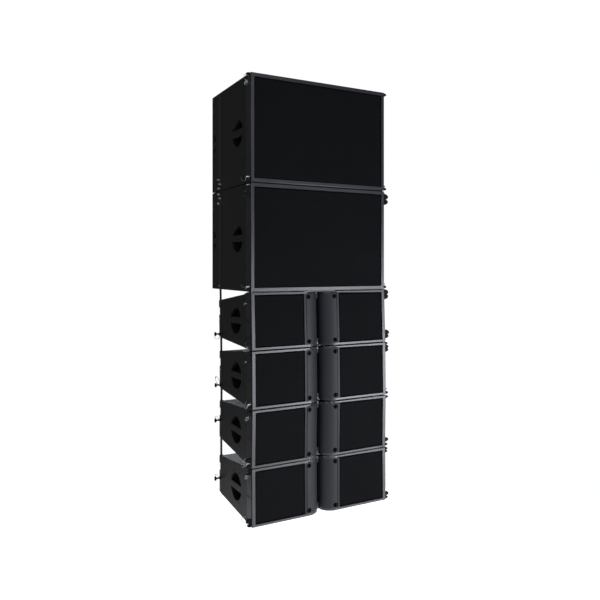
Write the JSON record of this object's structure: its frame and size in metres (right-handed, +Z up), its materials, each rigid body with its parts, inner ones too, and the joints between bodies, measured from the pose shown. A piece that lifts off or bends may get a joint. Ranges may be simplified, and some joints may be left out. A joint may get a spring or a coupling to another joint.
{
  "type": "line array speaker",
  "caption": "Flown line array: rectangular subwoofers over tapered full-range modules, hinged at the front, with rear links setting the splay.",
  "frame": {"origin": "centre of the top subwoofer's top face, where the array is hung", "axes": "+X to the right seen from the audience, -Y towards the audience, +Z up"},
  "size_m": [0.871, 0.5765, 2.2508],
  "materials": {
    "cabinet_paint": "black textured polyurea paint over birch plywood",
    "grille": "fine hexagonal perforated steel, powder coated black, foam behind",
    "horn": "moulded, fine satin grain",
    "cone": "coated paper",
    "driver": "cast basket, black enamel",
    "rear_plate": "black anodised",
    "rigging_steel": "zinc plated and powder coated black",
    "pin_steel": "bright shaft, black coated handle"
  },
  "bodies": {
    "subwoofers": {"sub_1_cabinet": "cabinet_paint", "sub_1_grille": "grille", "sub_1_woofer_frame": "driver", "sub_1_rear_panel": "rear_plate", "sub_2_cabinet": "cabinet_paint", "sub_2_grille": "grille", "sub_2_woofer_frame": "driver", "sub_2_rear_panel": "rear_plate", "sub_link_left": "rigging_steel", "sub_link_right": "rigging_steel"},
    "sub_1_cone": {"sub_1_woofer_cone": "cone"},
    "sub_2_cone": {"sub_2_woofer_cone": "cone"},
    "module_1": {"module_1_cabinet": "cabinet_paint", "module_1_grille_left": "grille", "module_1_grille_right": "grille", "module_1_waveguide": "horn", "module_1_woofer_left": "driver", "module_1_woofer_right": "driver", "module_1_hf_driver": "driver", "module_1_rear_panel": "rear_plate"},
    "module_2": {"module_2_cabinet": "cabinet_paint", "module_2_grille_left": "grille", "module_2_grille_right": "grille", "module_2_waveguide": "horn", "module_2_woofer_left": "driver", "module_2_woofer_right": "driver", "module_2_hf_driver": "driver", "module_2_rear_panel": "rear_plate"},
    "module_3": {"module_3_cabinet": "cabinet_paint", "module_3_grille_left": "grille", "module_3_grille_right": "grille", "module_3_waveguide": "horn", "module_3_woofer_left": "driver", "module_3_woofer_right": "driver", "module_3_hf_driver": "driver", "module_3_rear_panel": "rear_plate"},
    "module_4": {"module_4_cabinet": "cabinet_paint", "module_4_grille_left": "grille", "module_4_grille_right": "grille", "module_4_waveguide": "horn", "module_4_woofer_left": "driver", "module_4_woofer_right": "driver", "module_4_hf_driver": "driver", "module_4_rear_panel": "rear_plate"},
    "module_1_link_left_body": {"module_1_link_left": "rigging_steel"},
    "module_1_pin_left_body": {"module_1_pin_left": "pin_steel"},
    "module_1_link_right_body": {"module_1_link_right": "rigging_steel"},
    "module_1_pin_right_body": {"module_1_pin_right": "pin_steel"},
    "module_2_link_left_body": {"module_2_link_left": "rigging_steel"},
    "module_2_pin_left_body": {"module_2_pin_left": "pin_steel"},
    "module_2_link_right_body": {"module_2_link_right": "rigging_steel"},
    "module_2_pin_right_body": {"module_2_pin_right": "pin_steel"},
    "module_3_link_left_body": {"module_3_link_left": "rigging_steel"},
    "module_3_pin_left_body": {"module_3_pin_left": "pin_steel"},
    "module_3_link_right_body": {"module_3_link_right": "rigging_steel"},
    "module_3_pin_right_body": {"module_3_pin_right": "pin_steel"},
    "module_4_link_left_body": {"module_4_link_left": "rigging_steel"},
    "module_4_pin_left_body": {"module_4_pin_left": "pin_steel"},
    "module_4_link_right_body": {"module_4_link_right": "rigging_steel"},
    "module_4_pin_right_body": {"module_4_pin_right": "pin_steel"}
  },
  "joints": [
    {"name": "sub_1_cone_travel", "type": "slide", "parent": "subwoofers", "child": "sub_1_cone", "axis": [0, -1, 0], "range_m": [-0.008, 0.008], "stiffness_N_per_m": 5000},
    {"name": "sub_2_cone_travel", "type": "slide", "parent": "subwoofers", "child": "sub_2_cone", "axis": [0, -1, 0], "range_m": [-0.008, 0.008], "stiffness_N_per_m": 5000},
    {"name": "splay_1", "type": "hinge", "parent": "subwoofers", "child": "module_1", "pos_m": [0, -0.2515, -1.0635], "axis": [1, 0, 0], "range_deg": [0, 7]},
    {"name": "link_1_left", "type": "hinge", "parent": "subwoofers", "child": "module_1_link_left_body", "pos_m": [0, 0.1595, -1.0695], "axis": [1, 0, 0], "range_deg": [0, 7.82]},
    {"name": "link_1_right", "type": "hinge", "parent": "subwoofers", "child": "module_1_link_right_body", "pos_m": [0, 0.1595, -1.0695], "axis": [1, 0, 0], "range_deg": [0, 7.82]},
    {"name": "pin_1_left_pull", "type": "slide", "parent": "module_1", "child": "module_1_pin_left_body", "axis": [-1, 0, 0], "range_m": [0, 0.028]},
    {"name": "pin_1_right_pull", "type": "slide", "parent": "module_1", "child": "module_1_pin_right_body", "axis": [1, 0, 0], "range_m": [0, 0.028]},
    {"name": "splay_2", "type": "hinge", "parent": "module_1", "child": "module_2", "pos_m": [0, -0.26316, -1.35377], "axis": [1, 0, 0], "range_deg": [0, 8.6]},
    {"name": "link_2_left", "type": "hinge", "parent": "module_1", "child": "module_2_link_left_body", "pos_m": [0, 0.14886, -1.33661], "axis": [1, 0, 0], "range_deg": [0, 8.9]},
    {"name": "link_2_right", "type": "hinge", "parent": "module_1", "child": "module_2_link_right_body", "pos_m": [0, 0.14886, -1.33661], "axis": [1, 0, 0], "range_deg": [0, 8.9]},
    {"name": "pin_2_left_pull", "type": "slide", "parent": "module_2", "child": "module_2_pin_left_body", "axis": [-1, 0, 0], "range_m": [0, 0.028]},
    {"name": "pin_2_right_pull", "type": "slide", "parent": "module_2", "child": "module_2_pin_right_body", "axis": [1, 0, 0], "range_m": [0, 0.028]},
    {"name": "splay_3", "type": "hinge", "parent": "module_2", "child": "module_3", "pos_m": [0, -0.26823, -1.64422], "axis": [1, 0, 0], "range_deg": [0, 7.8]},
    {"name": "link_3_left", "type": "hinge", "parent": "module_2", "child": "module_3_link_left_body", "pos_m": [0, 0.1433, -1.61772], "axis": [1, 0, 0], "range_deg": [0, 8.29]},
    {"name": "link_3_right", "type": "hinge", "parent": "module_2", "child": "module_3_link_right_body", "pos_m": [0, 0.1433, -1.61772], "axis": [1, 0, 0], "range_deg": [0, 8.29]},
    {"name": "pin_3_left_pull", "type": "slide", "parent": "module_3", "child": "module_3_pin_left_body", "axis": [-1, 0, 0], "range_m": [0, 0.028]},
    {"name": "pin_3_right_pull", "type": "slide", "parent": "module_3", "child": "module_3_pin_right_body", "axis": [1, 0, 0], "range_m": [0, 0.028]},
    {"name": "splay_4", "type": "hinge", "parent": "module_3", "child": "module_4", "pos_m": [0, -0.26214, -1.93466], "axis": [1, 0, 0], "range_deg": [0, 11]},
    {"name": "link_4_left", "type": "hinge", "parent": "module_3", "child": "module_4_link_left_body", "pos_m": [0, 0.14806, -1.89238], "axis": [1, 0, 0], "range_deg": [0, 10.53]},
    {"name": "link_4_right", "type": "hinge", "parent": "module_3", "child": "module_4_link_right_body", "pos_m": [0, 0.14806, -1.89238], "axis": [1, 0, 0], "range_deg": [0, 10.53]},
    {"name": "pin_4_left_pull", "type": "slide", "parent": "module_4", "child": "module_4_pin_left_body", "axis": [-1, 0, 0], "range_m": [0, 0.028]},
    {"name": "pin_4_right_pull", "type": "slide", "parent": "module_4", "child": "module_4_pin_right_body", "axis": [1, 0, 0], "range_m": [0, 0.028]}
  ],
  "couplings": [
    {"joint": "link_1_left", "follows": "splay_1", "ratio": 1.075},
    {"joint": "link_1_right", "follows": "splay_1", "ratio": 1.075},
    {"joint": "link_2_left", "follows": "splay_2", "ratio": 1},
    {"joint": "link_2_right", "follows": "splay_2", "ratio": 1},
    {"joint": "link_3_left", "follows": "splay_3", "ratio": 1.025},
    {"joint": "link_3_right", "follows": "splay_3", "ratio": 1.025},
    {"joint": "link_4_left", "follows": "splay_4", "ratio": 0.93},
    {"joint": "link_4_right", "follows": "splay_4", "ratio": 0.93}
  ]
}
